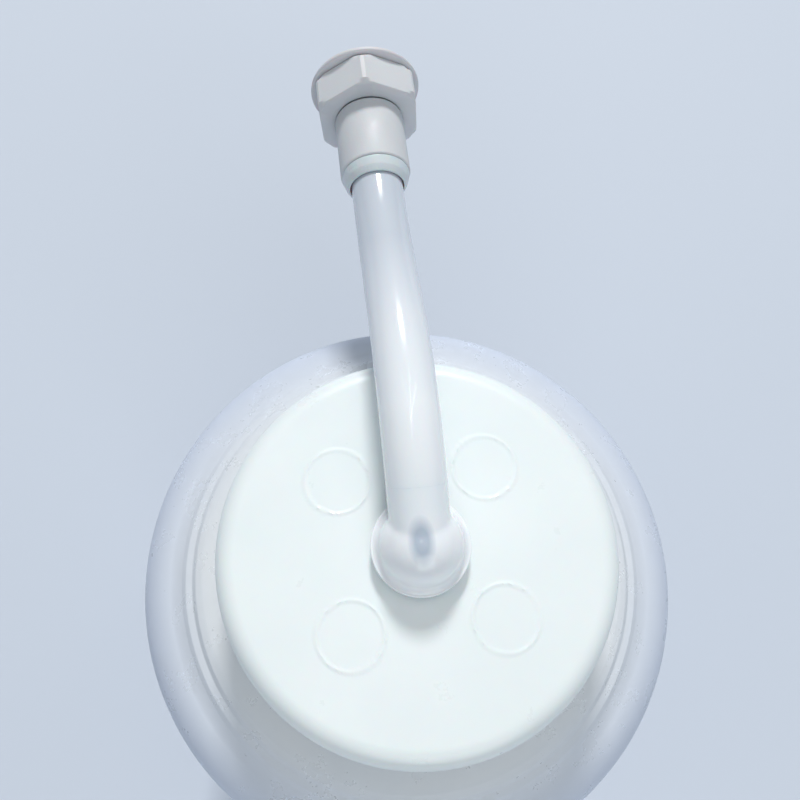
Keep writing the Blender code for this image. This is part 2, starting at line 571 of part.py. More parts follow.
def make_hex_nut(looks, frame):
    """Hex nut on the sleeve's thread, with a shoulder that holds the valve's rim."""
    bm = bmesh.new()
    corner = NUT_FLATS / 2 / math.cos(math.radians(30))
    lean = Matrix.Rotation(math.radians(NUT_TURN_DEG), 4, "Z")
    middle = Matrix.Translation((0, 0, NUT_START + NUT_LENGTH / 2)) @ lean
    bmesh.ops.create_cone(bm, cap_ends=True, segments=6, radius1=corner, radius2=corner, depth=NUT_LENGTH,
                          matrix=middle)
    mesh = bpy.data.meshes.new("hex_nut")
    bm.to_mesh(mesh)
    bm.free()
    nut = new_object("hex_nut", mesh, looks["nozzle"], frame)
    bevel = nut.modifiers.new("edge_round", "BEVEL")
    bevel.width = 0.0006
    bevel.segments = 1
    bevel.limit_method = "ANGLE"
    bore = rod_tool("nut_bore_cutter", NUT_SOCKET, NUT_START - 0.001, NUT_SHOULDER, frame)
    beyond = NUT_START + NUT_LENGTH + 0.001
    exit_bore = rod_tool("nut_exit_cutter", NUT_EXIT, NUT_SHOULDER - 0.001, beyond, frame)
    combine(nut, bore, "DIFFERENCE")
    combine(nut, exit_bore, "DIFFERENCE")
    start = NOZZLE_THREAD_START + NOZZLE_THREAD_PITCH / 2
    thread = thread_mesh("nut_thread", NUT_SOCKET, NUT_SOCKET - 0.0010, NOZZLE_THREAD_PITCH,
                         NOZZLE_THREAD_TURNS, start, NOZZLE_THREAD_WIDTH, SEGMENTS_SMALL, -0.0003)
    combine(nut, tool("nut_thread_guide", thread, frame), "UNION")


def make_outlet(looks, frame):
    """Flanged outlet pressed into the nut, and the slit valve that stops drips."""
    low = NUT_START + NUT_LENGTH + GAP
    high, neck = low + FLANGE_PLATE, NUT_EXIT - GAP
    profile = [(OUTLET_BORE, NUT_SHOULDER + 0.0005), (neck, NUT_SHOULDER + 0.0005), (neck, low),
               (FLANGE_RADIUS - 0.0004, low), (FLANGE_RADIUS, low + 0.0004), (FLANGE_RADIUS, high - 0.0004),
               (FLANGE_RADIUS - 0.0004, high), (0.0068, high), (0.0064, high + 0.0030),
               (OUTLET_BORE, high + 0.0030)]
    turned("nozzle_flange", profile, looks["nozzle"], frame, SEGMENTS_MEDIUM)
    make_valve(looks, frame)


def make_valve(looks, frame):
    """Silicone slit valve: a flat rim held by the nut and a bill that closes to a slit."""
    count = 16
    low, high = SPIGOT_END + GAP, NUT_SHOULDER - GAP
    bill_low, bill_high = (NUT_SHOULDER + along for along in VALVE_BILL)
    outside = [(low, 0.0079, 0.0079), (high, 0.0079, 0.0079), (high, 0.0041, 0.0041),
               (bill_low, 0.0041, 0.0041), (bill_high, 0.0041, 0.0010)]
    inside = [(bill_high - 0.0007, 0.0030, 0.0003), (bill_low - 0.0003, 0.0031, 0.0031),
              (low, 0.0031, 0.0031)]
    bm = bmesh.new()
    rows = []
    for s, across, up in outside + inside:
        angles = [2 * math.pi * k / count for k in range(count)]
        rows.append([bm.verts.new((across * math.cos(a), up * math.sin(a), s)) for a in angles])
    tip, pocket = len(outside) - 1, len(outside)
    for i, low_row in enumerate(rows):
        if i == tip:
            continue
        high_row = rows[(i + 1) % len(rows)]
        for k in range(count):
            j = (k + 1) % count
            bm.faces.new((low_row[k], low_row[j], high_row[j], high_row[k]))
    bm.faces.new(rows[tip])
    bm.faces.new(rows[pocket])
    bmesh.ops.recalc_face_normals(bm, faces=bm.faces[:])
    mesh = bpy.data.meshes.new("nozzle_valve")
    bm.to_mesh(mesh)
    bm.free()
    new_object("nozzle_valve", mesh, looks["seal"], frame)


# ---------------------------------------------------------------- the whole
def main():
    for existing in list(bpy.data.objects):
        bpy.data.objects.remove(existing, do_unlink=True)
    looks = make_materials()
    axis = empty("pump_axis")
    neck = empty("neck_axis", SPOUT_ORIGIN, RISE)
    nozzle = empty("nozzle_axis", NOZZLE_ORIGIN, FALL)
    make_jar(looks, axis)
    make_lid(looks, axis)
    make_liner(looks, axis)
    make_guide_bush(looks, axis)
    make_cylinder(looks, axis)
    make_spring(looks, axis)
    make_piston(looks, axis)
    make_stem(looks, axis)
    make_ball("outlet_ball", 0.0032, PISTON_Z + 0.0062, looks, axis)
    make_inlet(looks, axis)
    make_ball("inlet_ball", 0.0039, 0.1693, looks, axis)
    make_head(looks, axis, neck)
    make_spout(looks, axis)
    make_sleeve(looks, nozzle)
    make_hex_nut(looks, nozzle)
    make_outlet(looks, nozzle)


main()
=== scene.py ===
"""Looks of the condiment pump dispenser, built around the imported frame. Metres, +Z up."""
import json
import math

import bmesh
import bpy
from mathutils import Matrix, Vector


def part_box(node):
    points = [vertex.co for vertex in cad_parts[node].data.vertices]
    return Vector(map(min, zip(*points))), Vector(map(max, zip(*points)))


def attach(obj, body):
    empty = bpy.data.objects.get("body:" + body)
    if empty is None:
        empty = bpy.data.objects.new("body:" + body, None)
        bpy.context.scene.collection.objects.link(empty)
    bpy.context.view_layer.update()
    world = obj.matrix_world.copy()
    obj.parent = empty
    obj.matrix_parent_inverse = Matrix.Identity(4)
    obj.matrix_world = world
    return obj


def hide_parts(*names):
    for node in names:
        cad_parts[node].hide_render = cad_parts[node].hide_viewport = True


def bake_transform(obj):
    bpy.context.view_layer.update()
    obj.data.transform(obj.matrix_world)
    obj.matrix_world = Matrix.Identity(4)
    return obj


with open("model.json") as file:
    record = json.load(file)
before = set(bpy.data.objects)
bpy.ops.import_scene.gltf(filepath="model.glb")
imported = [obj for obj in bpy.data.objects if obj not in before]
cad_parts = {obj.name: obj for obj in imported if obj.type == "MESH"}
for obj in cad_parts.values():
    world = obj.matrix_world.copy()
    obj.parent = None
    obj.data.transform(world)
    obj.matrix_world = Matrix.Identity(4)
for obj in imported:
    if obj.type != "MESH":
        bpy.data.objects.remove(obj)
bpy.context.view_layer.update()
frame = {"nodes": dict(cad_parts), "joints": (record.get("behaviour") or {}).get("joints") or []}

UP = Matrix.Identity(4)


def joint(name):
    """A joint of the frame by its name."""
    return next(j for j in frame["joints"] if j["name"] == name)


# ---------------------------------------------------------------- places read from the frame
JAR_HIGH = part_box("jar")[1]
LID_LOW, LID_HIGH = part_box("lid")
JAR_R = JAR_HIGH.x
JAR_RIM = JAR_HIGH.z
LID_R = LID_HIGH.x
LID_TOP = LID_HIGH.z
LID_BOTTOM = LID_LOW.z
HEAD_LOW, HEAD_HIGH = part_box("pump_head")
HEAD_DISC_R = HEAD_HIGH.x
NOZZLE_PLACE = Vector(joint("nut_turn")["pos_m"])
NOZZLE_AXIS = Vector(joint("nut_turn")["axis"]).normalized()


def placed(origin, direction):
    """A matrix that stands local Z along the direction, with local X level and pointing to +X."""
    z = direction.normalized()
    x = Vector((1, 0, 0))
    y = z.cross(x)
    turn = Matrix((x, y, z)).transposed().to_4x4()
    return Matrix.Translation(origin) @ turn


NOZZLE = placed(NOZZLE_PLACE, NOZZLE_AXIS)


# ---------------------------------------------------------------- material nodes
NOISE_LOW, NOISE_HIGH = 0.3, 0.7            # nearly all of a noise lies between these
MOTTLE_SCALE, SMUDGE_SCALE = 45.0, 110.0    # noise cells to a metre
FLOW_SCALE, PEEL_SCALE = 60.0, 1800.0
FLOW_DEPTH, PEEL_DEPTH = 0.0006, 0.0002


class Nodes:
    """A material's node tree with short ways to add and link nodes."""

    def __init__(self, name):
        self.material = bpy.data.materials.new(name)
        self.material.use_nodes = True
        self.tree = self.material.node_tree
        self.shader = self.tree.nodes["Principled BSDF"]
        self.coordinates = self.tree.nodes.new("ShaderNodeTexCoord").outputs["Object"]

    def set(self, **values):
        """Sets the shader's own sockets, named as in coat_weight or ior."""
        for name, value in values.items():
            socket = self.shader.inputs[name.replace("_", " ").title().replace("Ior", "IOR")]
            socket.default_value = value

    def stretch(self, scale):
        """The piece's coordinates, scaled along each axis."""
        node = self.tree.nodes.new("ShaderNodeMapping")
        node.inputs["Scale"].default_value = scale
        self.tree.links.new(self.coordinates, node.inputs["Vector"])
        return node.outputs["Vector"]

    def vectors(self, operation, value, other=None):
        """Vector maths on a value: a length is a number, and any other result is a vector."""
        node = self.tree.nodes.new("ShaderNodeVectorMath")
        node.operation = operation
        self.tree.links.new(value, node.inputs[0])
        if other:
            node.inputs[1].default_value = other
        return node.outputs["Value" if operation == "LENGTH" else "Vector"]

    def noise(self, scale, detail=3.0, roughness=0.5):
        """Noise in the piece's own coordinates."""
        node = self.tree.nodes.new("ShaderNodeTexNoise")
        node.inputs["Scale"].default_value = scale
        node.inputs["Detail"].default_value = detail
        node.inputs["Roughness"].default_value = roughness
        self.tree.links.new(self.coordinates, node.inputs["Vector"])
        return node.outputs["Fac"]

    def ranged(self, value, low, high, from_low=NOISE_LOW, from_high=NOISE_HIGH):
        """The value moved from one range to another, and held inside it."""
        node = self.tree.nodes.new("ShaderNodeMapRange")
        node.inputs["From Min"].default_value = from_low
        node.inputs["From Max"].default_value = from_high
        node.inputs["To Min"].default_value = low
        node.inputs["To Max"].default_value = high
        self.tree.links.new(value, node.inputs["Value"])
        return node.outputs["Result"]

    def colours(self, value, low, high):
        """A colour between two, mixed by a noise value."""
        node = self.tree.nodes.new("ShaderNodeValToRGB")
        node.color_ramp.elements[0].position = NOISE_LOW
        node.color_ramp.elements[1].position = NOISE_HIGH
        node.color_ramp.elements[0].color = (*low, 1.0)
        node.color_ramp.elements[1].color = (*high, 1.0)
        self.tree.links.new(value, node.inputs["Fac"])
        return node.outputs["Color"]

    def bump(self, height, strength, distance, under=None):
        """A normal raised by a height, on top of another normal if one is given."""
        node = self.tree.nodes.new("ShaderNodeBump")
        node.inputs["Strength"].default_value = strength
        node.inputs["Distance"].default_value = distance
        self.tree.links.new(height, node.inputs["Height"])
        if under:
            self.tree.links.new(under, node.inputs["Normal"])
        return node.outputs["Normal"]

    def link(self, output, name):
        """Feeds one of the shader's sockets."""
        self.tree.links.new(output, self.shader.inputs[name])


def plastic(name, dark, light, roughness, waves=0.15, grain=0.05, **settings):
    """Moulded plastic: slow mottling, flow waves, fine orange peel and uneven gloss."""
    m = Nodes(name)
    m.set(**settings)
    m.link(m.colours(m.noise(MOTTLE_SCALE, detail=4.0), dark, light), "Base Color")
    smudge = m.noise(SMUDGE_SCALE, detail=5.0, roughness=0.6)
    m.link(m.ranged(smudge, roughness * 0.75, roughness * 1.35), "Roughness")
    flow = m.bump(m.noise(FLOW_SCALE, detail=2.0), waves, FLOW_DEPTH)
    peel = m.bump(m.noise(PEEL_SCALE, detail=2.0), grain, PEEL_DEPTH, under=flow)
    m.link(peel, "Normal")
    return m


def base_colour(m):
    """What feeds the shader's base colour now."""
    return m.shader.inputs["Base Color"].links[0].from_socket


def faded(m, colour, far, value, low, high):
    """Lets the colour turn to another one as a value goes from low to high."""
    share = m.ranged(value, 0.0, 1.0, from_low=low, from_high=high)
    mix = m.tree.nodes.new("ShaderNodeMix")
    mix.data_type = "RGBA"
    m.tree.links.new(share, mix.inputs["Factor"])
    m.tree.links.new(colour, mix.inputs["A"])
    mix.inputs["B"].default_value = (*far, 1.0)
    return mix.outputs["Result"]


def painted_hollow_shade(m, colour, dark, centre, reach):
    """Darkens a colour towards an oval place inside the piece: painted shade of the hollow, seen through
    the plastic.
    """
    away = m.vectors("SUBTRACT", m.coordinates, centre)
    share = m.vectors("LENGTH", m.vectors("DIVIDE", away, reach))
    return faded(m, colour, dark, share, 1.0, 0.45)


def jar_look():
    """Clear plastic that is deeper and bluer on the jar's wall than on its shoulder: painted shade for the
    dark band near the jar's outline.
    """
    m = plastic("clear_jar_plastic", (0.93, 0.97, 1.0), (0.95, 0.98, 1.0), 0.30, waves=0.05,
                grain=0.005, transmission_weight=0.25, ior=1.25, specular_ior_level=0.3)
    radius = m.vectors("LENGTH", m.stretch((1.0, 1.0, 0.0)))
    # Painted shade: darker and bluer towards the jar's outline, for the dark band that the clear wall shows
    # there.
    m.link(faded(m, base_colour(m), (0.74, 0.81, 0.94), radius, *JAR_SHADE_FADE), "Base Color")
    return m


def spout_look():
    """Natural plastic, with painted shade over the hollow under the dome and painted shade that deepens it
    along the tube.
    """
    m = plastic("natural_plastic", (0.88, 0.92, 0.96), (0.92, 0.95, 0.98), 0.16, waves=0.10,
                grain=0.03, subsurface_weight=0.12, subsurface_scale=0.003, ior=1.42,
                coat_weight=0.5, coat_roughness=0.08)
    # Painted shade: a dark oval on the dome, for the hollow seen through the plastic.
    hollow = painted_hollow_shade(m, base_colour(m), (0.50, 0.57, 0.66), HOLLOW_SHADE_PLACE, HOLLOW_SHADE_REACH)
    split = m.tree.nodes.new("ShaderNodeSeparateXYZ")
    m.tree.links.new(m.coordinates, split.inputs["Vector"])
    # Painted shade: the tube darkens along Y as it leaves the bright lid and runs over the floor.
    m.link(faded(m, hollow, (0.58, 0.63, 0.70), split.outputs["Y"], *SPOUT_SHADE_FADE), "Base Color")
    return m


def make_looks():
    """Every look by its short name."""
    return {
        "jar": jar_look(),
        "lid": plastic("lid_gloss_plastic", (0.82, 0.885, 0.89), (0.85, 0.905, 0.91), 0.34,
                       waves=0.04, grain=0.03, coat_weight=0.1, coat_roughness=0.15,
                       subsurface_weight=0.15, subsurface_scale=0.002),
        "spout": spout_look(),
        "nozzle": plastic("off_white_plastic", (0.60, 0.62, 0.645), (0.64, 0.66, 0.685), 0.50,
                          waves=0.12, grain=0.12, subsurface_weight=0.2, subsurface_scale=0.003),
        "ring": plastic("grey_translucent_plastic", (0.66, 0.70, 0.73), (0.70, 0.74, 0.77), 0.30,
                        waves=0.12, grain=0.06, subsurface_weight=0.4, subsurface_scale=0.004),
        "pump": plastic("pump_plastic", (0.74, 0.77, 0.79), (0.80, 0.82, 0.84), 0.33,
                        waves=0.14, grain=0.08, subsurface_weight=0.25, subsurface_scale=0.003),
        "seal": plastic("silicone", (0.55, 0.57, 0.59), (0.64, 0.65, 0.67), 0.50,
                        waves=0.20, grain=0.10, subsurface_weight=0.3, subsurface_scale=0.003),
        "steel": plastic("stainless_steel", (0.56, 0.56, 0.57), (0.66, 0.66, 0.66), 0.22,
                         waves=0.05, grain=0.05, metallic=1.0)}


# ---------------------------------------------------------------- mesh helpers
def finish_piece(name, mesh, look, body, nodes, sharp_deg=40.0):
    """Turns a mesh into a piece that stands for CAD nodes. With no body, the piece is left unattached."""
    mesh.materials.clear()
    mesh.materials.append(LOOKS[look].material)
    mesh.shade_smooth()
    mesh.set_sharp_from_angle(angle=math.radians(sharp_deg))
    piece = bpy.data.objects.new(name, mesh)
    bpy.context.scene.collection.objects.link(piece)
    if body:
        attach(piece, body)
    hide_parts(*nodes)
    return piece


def arc(centre, radius, start_deg, end_deg, steps):
    """Points of a circular arc in the (r, z) plane."""
    angles = [math.radians(start_deg + (end_deg - start_deg) * i / steps) for i in range(steps + 1)]
    return [(centre[0] + radius * math.cos(a), centre[1] + radius * math.sin(a)) for a in angles]


def rounded(points, closed=True, steps=4):
    """An outline whose corners are rounded. A point is (r, z) for a sharp corner or (r, z, radius)."""
    outline = []
    count = len(points)
    for i, point in enumerate(points):
        here = Vector(point[:2])
        radius = point[2] if len(point) > 2 else 0.0
        if radius <= 0 or (not closed and i in (0, count - 1)):
            outline.append(tuple(here))
            continue
        back = Vector(points[i - 1][:2]) - here
        on = Vector(points[(i + 1) % count][:2]) - here
        half = back.angle(on) / 2
        if half > math.radians(88):
            outline.append(tuple(here))
            continue
        cut = min(radius / math.tan(half), 0.45 * back.length, 0.45 * on.length)
        start, end = here + back.normalized() * cut, here + on.normalized() * cut
        for k in range(steps + 1):
            t = k / steps
            outline.append(tuple((1 - t) ** 2 * start + 2 * t * (1 - t) * here + t * t * end))
    return outline


def divided(outline, longest, closed=True):
    """The outline with extra points, so that no stretch is longer than given."""
    pairs = list(zip(outline, outline[1:] + outline[:1] if closed else outline[1:]))
    points = []
    for a, b in pairs:
        start, end = Vector(a), Vector(b)
        count = max(1, math.ceil((end - start).length / longest))
        points += [tuple(start.lerp(end, k / count)) for k in range(count)]
    return points if closed else points + [outline[-1]]


def lathe_mesh(name, outline, segments=96, closed=True, change=None, place=UP):
    """A turned mesh. change(r, z, angle) may return a moved (r, z), for threads, flats and marks."""
    bm = bmesh.new()
    rows = []
    for r, z in outline:
        if r < 1e-7:
            rows.append([bm.verts.new(place @ Vector((0, 0, z)))] * segments)
            continue
        row = []
        for k in range(segments):
            angle = 2 * math.pi * k / segments
            rr, zz = change(r, z, angle) if change else (r, z)
            row.append(bm.verts.new(place @ Vector((rr * math.cos(angle), rr * math.sin(angle), zz))))
        rows.append(row)
    pairs = list(zip(rows, rows[1:]))
    if closed:
        pairs.append((rows[-1], rows[0]))
    for low, high in pairs:
        for k in range(segments):
            j = (k + 1) % segments
            corners = []
            for vert in (low[k], low[j], high[j], high[k]):
                if vert not in corners:
                    corners.append(vert)
            if len(corners) > 2:
                bm.faces.new(corners)
    bmesh.ops.recalc_face_normals(bm, faces=bm.faces[:])
    mesh = bpy.data.meshes.new(name)
    bm.to_mesh(mesh)
    bm.free()
    return mesh


def section_of(node, place=UP):
    """The outline of a turned CAD node: its mesh's corners that lie in the local +X half-plane."""
    mesh = frame["nodes"][node].data
    back = place.inverted()
    local = [back @ v.co for v in mesh.vertices]
    found = {}
    for edge in mesh.edges:
        ends = [local[i] for i in edge.vertices]
        if all(abs(p.y) < 2e-6 and p.x > -1e-6 for p in ends):
            keys = [(round(p.x, 6), round(p.z, 6)) for p in ends]
            if keys[0] != keys[1]:
                found.setdefault(keys[0], set()).add(keys[1])
                found.setdefault(keys[1], set()).add(keys[0])
    start = min(found, key=lambda key: (len(found[key]), key))
    outline, before = [start], None
    while True:
        ways = [key for key in sorted(found[outline[-1]]) if key != before]
        if not ways or ways[0] == start:
            break
        before = outline[-1]
        outline.append(ways[0])
    return outline, len(found[start]) > 1


def turned_piece(node, look, body, fillet=0.00025, segments=96, place=UP):
    """A fine, edge-rounded version of a turned CAD node."""
    outline, closed = section_of(node, place)
    soft = [(r, z, fillet if r > 1e-6 else 0.0) for r, z in outline]
    mesh = lathe_mesh(node, rounded(soft, closed, steps=3), segments, closed, place=place)
    return finish_piece(node + "_fine", mesh, look, body, [node])


def ridge(z, angle, start_z, pitch, turns, width):
    """Height share from 0 to 1 of a helical ridge at a point of the wall; it fades at both ends."""
    share = (angle / (2 * math.pi)) % 1.0
    best = 0.0
    for k in range(math.ceil(turns) + 1):
        turn = k + share
        if turn > turns:
            continue
        away = abs(z - start_z - pitch * turn)
        side = min(1.0, max(0.0, (width / 2 - away) / (width / 4)))
        ends = min(1.0, turn * 14, (turns - turn) * 14)
        best = max(best, side * max(0.0, ends))
    return best * best * (3 - 2 * best)


# ---------------------------------------------------------------- driving sizes of the shapes made here
JAR_WALL = 0.0020
NECK_R = 0.0454
NECK_Z = 0.2150
BEAD_R = NECK_R + 0.0042
BASE_CORNER = 0.0120
SHOULDER_CORNER = 0.0130
SHOULDER_Z = LID_TOP - 0.0502
LID_WALL = 0.0020
LID_ROLL = 0.0050
LID_PLATE = 0.0022
LID_HOLE_R = 0.0104
MARK_PLACE_R, MARK_R = 0.0262, 0.0081
MARK_HEIGHT, MARK_HALF_WIDTH = 0.00026, 0.0005
BOSS_R, BOSS_INNER, BOSS_HEIGHT = 0.0225, 0.0200, 0.0078
THREAD_PITCH = joint("lid_rise")["range_m"][1] / (joint("lid_turn")["range_deg"][1] / 360)
THREAD_TURNS = 1.25
THREAD_HEIGHT, THREAD_WIDTH = 0.0018, 0.0022
THREAD_PHASE = math.radians(4)
THREAD_START = LID_BOTTOM + 0.0040
NOZZLE_PITCH = joint("nut_travel")["range_m"][1] / (joint("nut_turn")["range_deg"][1] / 360)
NOZZLE_TURNS = 2.0
NOZZLE_THREAD_Z = 0.0231
NOZZLE_THREAD_WIDTH, NOZZLE_THREAD_HEIGHT = 0.0009, 0.0009
NUT_THREAD_DEPTH = 0.0010
NOZZLE_PHASE = math.radians(7.2)
SPOUT_R = 0.0073
SPOUT_BORE = 0.0052
SPOUT_START = Vector((0, 0, 0.2475))
SPOUT_END = NOZZLE_PLACE - NOZZLE_AXIS * 0.0015
SPOUT_HANDLES = (0.0400, 0.0350)
RISE = Vector((0, math.cos(math.radians(20)), math.sin(math.radians(20))))
NECK_LENGTH = 0.0140
NECK_SOCKET = 0.0078
SPIGOT_R, SPIGOT_BORE = 0.0058, 0.0042
BARREL_LOW = HEAD_LOW.z
DISC_LOW, DISC_HIGH = 0.2431, 0.2443
BARREL_R = 0.0076
STEM_SOCKET_R, STEM_SOCKET_TOP = 0.0063, 0.2411
PASSAGE_R = 0.0037
DOME_R = 0.0104
DOME_TOP = 0.2553
DOME_VOXEL = 0.00026
CREASE_REACH = 0.0030
# Centre and reach of the painted shade over the hollow under the dome.
HOLLOW_SHADE_PLACE = (-0.0006, -0.0008, DOME_TOP)
HOLLOW_SHADE_REACH = (0.0034, 0.0062, 0.0060)
TUBE_IN_SLEEVE = 0.0155
COLLAR_START, COLLAR_END = -0.0029, 0.0013
COLLAR_R = (0.0081, 0.0097)
SLEEVE_R = 0.0100
SLEEVE_SPIGOT_R, SLEEVE_SPIGOT_END = 0.0082, 0.0283
OUTLET_R = 0.0048
NUT_START, NUT_LENGTH = 0.0216, 0.0108
NUT_FLATS = 0.0282
NUT_CORNER_DEG = -94.0
NUT_SOCKET, NUT_EXIT, NUT_SHOULDER = 0.0097, 0.0063, 0.0296
VALVE_RIM_R, VALVE_NECK_R, VALVE_BORE = 0.0079, 0.0041, 0.0031
JAR_SHADE_FADE = (0.056, 0.077)       # radii between which painted shade deepens the jar's colour towards its outline
SPOUT_SHADE_FADE = (0.030, 0.080)     # places along Y between which painted shade deepens the tube's colour, away from the bright lid


def inset_line(line, distance):
    """The open line of (r, z) points moved to its left by the distance, with mitred corners."""
    moved = []
    for i, point in enumerate(line):
        here = Vector(point)
        before = (here - Vector(line[i - 1])).normalized() if i else None
        after = (Vector(line[i + 1]) - here).normalized() if i + 1 < len(line) else None
        before = before or after
        after = after or before
        tangent = (before + after).normalized()
        normal = Vector((-tangent.y, tangent.x))
        moved.append(tuple(here + normal * distance / max(0.5, tangent.dot(after))))
    return moved


# ---------------------------------------------------------------- the jar and its lid
def make_jar():
    """Clear jar: low foot ring, straight wall, stepped shoulder, neck bead and screw thread."""
    corner, crown = JAR_R - BASE_CORNER, JAR_R - SHOULDER_CORNER
    step = SHOULDER_Z + SHOULDER_CORNER
    wall = [(0, 0)] + arc((corner, BASE_CORNER), BASE_CORNER, -90, 0, 14)
    wall += arc((crown, SHOULDER_Z), SHOULDER_CORNER, 0, 80, 16)
    wall += rounded([wall[-1], (0.0645, step + 0.0020, 0.0010), (0.0632, step + 0.0036, 0.0008),
                     (0.0612, step + 0.0042, 0.0008), (0.0600, step + 0.0062, 0.0008),
                     (0.0580, step + 0.0072, 0.0020), (0.0500, NECK_Z - 0.0028, 0.0030),
                     (0.0466, NECK_Z - 0.0014, 0.0020), (NECK_R, NECK_Z, 0.0015),
                     (NECK_R, JAR_RIM)], closed=False)[1:]
    inside = inset_line(wall, JAR_WALL)
    inside[0] = (0, JAR_WALL + 0.0006)
    inside[-1] = (NECK_R - JAR_WALL, JAR_RIM)
    foot = rounded([(0, 0.0003), (0.0026, 0.0003, 0.0003), (0.0034, 0.0009, 0.0004),
                    (0.0520, 0.0009, 0.0010), (0.0550, 0.0, 0.0012), wall[1]], closed=False)
    bead = rounded([(NECK_R, NECK_Z + 0.0002), (NECK_R, NECK_Z + 0.0008, 0.0006),
                    (BEAD_R, NECK_Z + 0.0014, 0.0005), (BEAD_R, NECK_Z + 0.0030, 0.0006),
                    (NECK_R, NECK_Z + 0.0036, 0.0006), (NECK_R, NECK_Z + 0.0042)], closed=False)
    neck = divided([(NECK_R, NECK_Z + 0.0044), (NECK_R, JAR_RIM - 0.0010)], 0.0003, closed=False)
    inner = NECK_R - JAR_WALL
    rim = rounded([(NECK_R, JAR_RIM - 0.0008), (NECK_R, JAR_RIM, 0.0005), (inner, JAR_RIM, 0.0005),
                   (inner, JAR_RIM - 0.0008)], closed=False)
    outline = foot + wall[2:-1] + bead + neck + rim + inside[::-1][1:]

    def threaded(r, z, angle):
        if abs(r - NECK_R) > 1e-6 or z < bead[-1][1]:
            return r, z
        share = ridge(z, angle - THREAD_PHASE, THREAD_START, THREAD_PITCH, THREAD_TURNS, THREAD_WIDTH)
        return r + THREAD_HEIGHT * share, z

    mesh = lathe_mesh("jar", outline, 144, closed=False, change=threaded)
    return finish_piece("jar_clear", mesh, "jar", "jar_body", ["jar"])


def make_lid():
    """White lid: rolled edge, faint round marks on top, thread inside and the pump's boss underneath."""
    inner, under = LID_R - LID_WALL, LID_TOP - LID_PLATE
    mark_place = Vector((MARK_PLACE_R, 0))
    marks = [Matrix.Rotation(math.radians(45 + 90 * k), 2) @ mark_place for k in range(4)]
    top = divided([(LID_HOLE_R + 0.0006, LID_TOP), (LID_R - LID_ROLL - 0.0003, LID_TOP)], 0.0004,
                  closed=False)
    start = rounded([(LID_HOLE_R, LID_TOP - 0.0006), (LID_HOLE_R, LID_TOP, 0.0003),
                     (LID_HOLE_R + 0.0005, LID_TOP)], closed=False)
    roll = arc((LID_R - LID_ROLL, LID_TOP - LID_ROLL), LID_ROLL, 90, 0, 16)
    lip = rounded([(LID_R, LID_BOTTOM + 0.0030), (LID_R - 0.0002, LID_BOTTOM + 0.0016, 0.0004),
                   (LID_R, LID_BOTTOM + 0.0010, 0.0004), (LID_R - 0.0004, LID_BOTTOM, 0.0005),
                   (inner + 0.0002, LID_BOTTOM, 0.0003), (inner, LID_BOTTOM + 0.0006)], closed=False)
    inside = divided([(inner, LID_BOTTOM + 0.0008), (inner, under - 0.0014)], 0.0003, closed=False)
    deep = rounded([(inner, under - 0.0012), (inner, under, 0.0008), (BOSS_R, under, 0.0006),
                    (BOSS_R, under - BOSS_HEIGHT, 0.0003), (BOSS_INNER, under - BOSS_HEIGHT, 0.0003),
                    (BOSS_INNER, under, 0.0006), (LID_HOLE_R, under, 0.0003), (LID_HOLE_R, under + 0.0005)],
                   closed=False)
    outline = start + top + roll + lip + inside + deep

    def shaped(r, z, angle):
        if abs(r - inner) < 1e-6 and LID_BOTTOM + 0.0007 < z < under - 0.0010:
            low = THREAD_START - THREAD_PITCH / 2
            share = ridge(z, angle - THREAD_PHASE, low, THREAD_PITCH, THREAD_TURNS, THREAD_WIDTH)
            return r - THREAD_HEIGHT * share, z
        if abs(z - LID_TOP) < 1e-7:
            point = Vector((r * math.cos(angle), r * math.sin(angle)))
            away = min(abs((point - centre).length - MARK_R) for centre in marks)
            return r, z + MARK_HEIGHT * max(0.0, 1 - (away / MARK_HALF_WIDTH) ** 2) ** 2
        return r, z

    mesh = lathe_mesh("lid", outline, 288, change=shaped)
    return finish_piece("lid_white", mesh, "lid", "lid_unit", ["lid"])


# ---------------------------------------------------------------- the pump under the lid
def make_pump():
    """Every turned piece of the pump, from its CAD section."""
    for node, look, body in (
            ("lid_liner", "seal", "lid_liner_body"), ("guide_bush", "pump", "lid_unit"),
            ("wiper_ring", "seal", "lid_unit"), ("pump_cylinder", "pump", "lid_unit"),
            ("cylinder_gasket", "seal", "lid_unit"), ("inlet_valve_body", "pump", "lid_unit"),
            ("piston", "pump", "plunger"), ("piston_seal", "seal", "plunger"), ("stem", "pump", "plunger"),
            ("head_o_ring", "seal", "plunger"), ("outlet_ball_stop", "pump", "plunger")):
        turned_piece(node, look, body)
    make_ring_nut()
    make_dip_tube()
    make_spring()
    make_balls()
    stop = frame["nodes"]["inlet_ball_stop"]
    stop.data.materials.clear()
    stop.data.materials.append(LOOKS["pump"].material)


def make_ring_nut():
    """Ring nut with rounded grip ribs."""
    ribs, half_rib, soft_edge, from_end = 8, 0.0016, 0.0006, 0.0008
    low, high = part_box("cylinder_nut")
    outline = section_of("cylinder_nut")[0]
    outer = max(r for r, z in outline)
    soft = divided(rounded([(r, z, 0.0004) for r, z in outline], steps=3), 0.0008)

    def ribbed(r, z, angle):
        if r < outer - 0.0001:
            return r, z
        away = abs((angle / (2 * math.pi) * ribs) % 1.0 - 0.5) / ribs * 2 * math.pi * outer
        across = max(0.0, min(1.0, (half_rib - away) / soft_edge))
        inside = min(z - low.z, high.z - z) - from_end
        along = max(0.0, min(1.0, inside / 0.0005))
        return r + (high.x - outer) * across * along, z

    mesh = lathe_mesh("cylinder_nut", soft, 192, change=ribbed)
    return finish_piece("cylinder_nut_fine", mesh, "pump", "lid_unit", ["cylinder_nut"])


